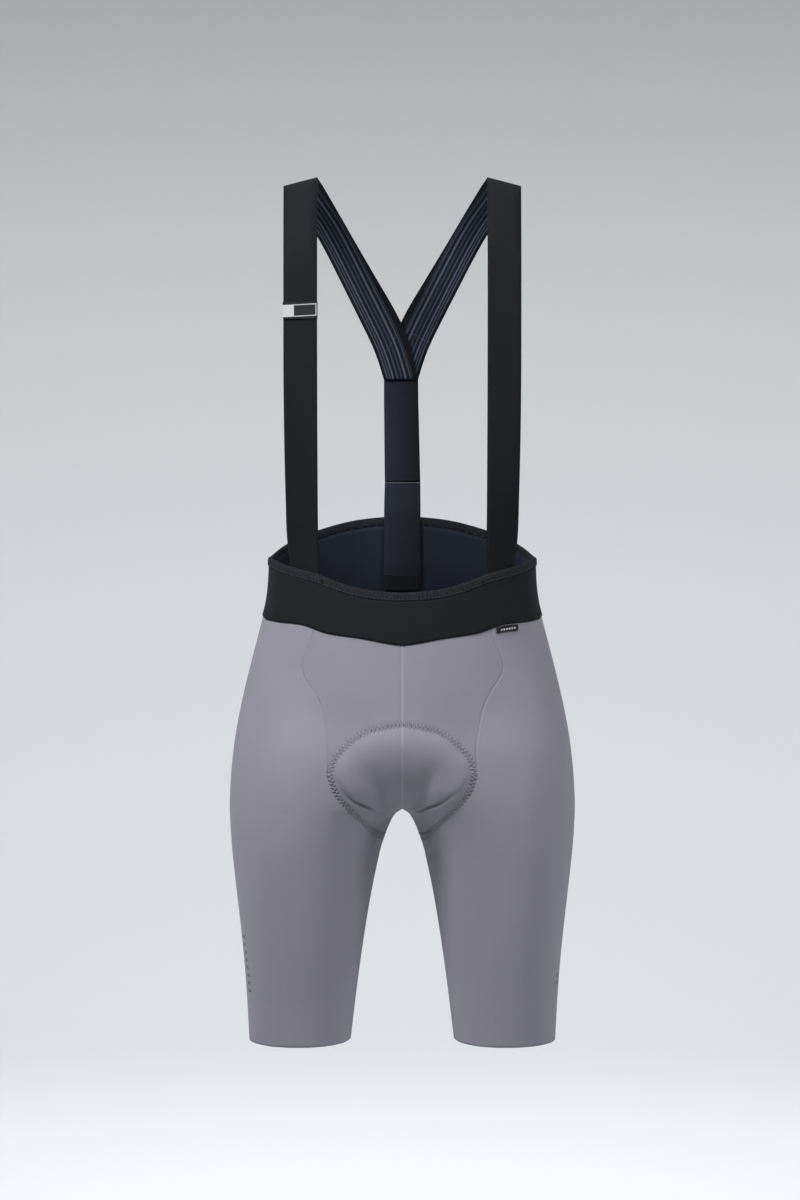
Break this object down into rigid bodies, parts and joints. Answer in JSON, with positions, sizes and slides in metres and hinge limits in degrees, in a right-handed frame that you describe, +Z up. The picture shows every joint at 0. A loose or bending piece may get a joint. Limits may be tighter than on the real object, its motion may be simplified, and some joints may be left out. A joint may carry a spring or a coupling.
{
  "type": "cycling bib shorts",
  "caption": "Cycling bib shorts filled out as worn: two hollow legs with a seat pad, a dark waist yoke, and two braces that meet in a Y on a strap behind.",
  "frame": {"origin": "midway between the crests of the two braces on the wearer's shoulders", "axes": "+Z up, -Y the front, +X towards the wearer's left"},
  "size_m": [0.3634, 0.2569, 0.904],
  "materials": {
    "grey_knit": "matt knit with a soft sheen",
    "black_knit": "matt",
    "heather_binding": "matt heather tape",
    "brace_elastic": "matt elastic, striped navy inside",
    "navy_elastic": "matt",
    "seat_pad_foam": "matt",
    "woven_label": "woven"
  },
  "bodies": {
    "root": {"front_panel_left": "grey_knit", "front_panel_right": "grey_knit", "leg_panel_left": "grey_knit", "leg_panel_right": "grey_knit", "yoke_front": "black_knit", "yoke_back": "black_knit", "waist_binding": "heather_binding", "strap_left": "brace_elastic", "strap_right": "brace_elastic", "back_strap_upper": "navy_elastic", "back_strap_lower": "navy_elastic", "seat_pad": "seat_pad_foam", "strap_label": "woven_label", "waist_tab": "woven_label"}
  },
  "joints": []
}
